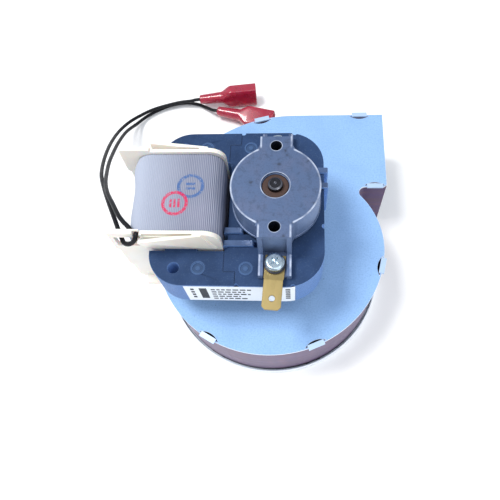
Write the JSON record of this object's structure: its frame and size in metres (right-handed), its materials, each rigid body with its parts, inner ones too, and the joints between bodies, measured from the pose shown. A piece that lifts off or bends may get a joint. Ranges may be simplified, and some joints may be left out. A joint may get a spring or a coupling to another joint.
{
  "type": "combustion fan",
  "caption": "Small draft inducer: sheet steel scroll blower with a side outlet, driven by an open C-frame shaded-pole motor with leads and insulated terminals.",
  "frame": {"origin": "centre of the inlet eye, in the outer face of the inlet plate, which the fan stands on", "axes": "+Z along the shaft towards the motor, +X towards the outlet, +Y from the shaft towards the outlet's far wall"},
  "size_m": [0.125, 0.1446, 0.0774],
  "materials": {
    "galvanised": "satin",
    "band_steel": "satin",
    "wheel_sheet": "satin",
    "hub_alloy": "satin",
    "black_steel": "satin",
    "shaft_steel": "polished",
    "rotor_steel": "matte",
    "cage_alloy": "cast",
    "washer_nylon": "satin",
    "core_varnish": "satin varnish",
    "ring_varnish": "glossy varnish",
    "bobbin_nylon": "satin",
    "copper_wire": "enamelled",
    "coil_tape": "ribbed",
    "die_cast": "as cast",
    "bronze": "sintered",
    "felt": "felt",
    "zinc_plate": "bright zinc",
    "spring_steel": "dark",
    "brass_sheet": "satin",
    "label_film": "matte",
    "lead_insulation": "satin",
    "tinned_brass": "tinned",
    "sleeve_nylon": "translucent gloss"
  },
  "bodies": {
    "stator": {"motor_plate": "galvanised", "scroll_band": "band_steel", "inlet_plate": "galvanised", "field_core": "core_varnish", "yoke_core": "core_varnish", "core_rivets": "core_varnish", "shading_rings_upper": "ring_varnish", "shading_rings_lower": "ring_varnish", "bobbin": "bobbin_nylon", "winding": "copper_wire", "winding_tape": "coil_tape", "upper_bracket": "die_cast", "lower_bracket": "die_cast", "upper_bearing": "bronze", "lower_bearing": "bronze", "upper_oil_felt": "felt", "lower_oil_felt": "felt", "upper_retainer": "spring_steel", "lower_retainer": "spring_steel", "bracket_screws": "zinc_plate", "lock_washers": "spring_steel", "bracket_nuts": "zinc_plate", "mount_screws": "zinc_plate", "ground_tab": "brass_sheet", "rating_label": "label_film", "lead_a": "lead_insulation", "lead_b": "lead_insulation", "terminal_a": "tinned_brass", "terminal_b": "tinned_brass", "terminal_sleeve_a": "sleeve_nylon", "terminal_sleeve_b": "sleeve_nylon"},
    "rotor": {"impeller_back_plate": "wheel_sheet", "impeller_blades": "wheel_sheet", "impeller_front_ring": "wheel_sheet", "impeller_hub": "hub_alloy", "impeller_set_screw": "black_steel", "motor_shaft": "shaft_steel", "rotor_core": "rotor_steel", "rotor_cage": "cage_alloy", "thrust_washers": "washer_nylon"}
  },
  "joints": [
    {"name": "rotor_spin", "type": "hinge", "parent": "stator", "child": "rotor", "pos_m": [0, 0, 0], "axis": [0, 0, 1], "continuous": true}
  ]
}
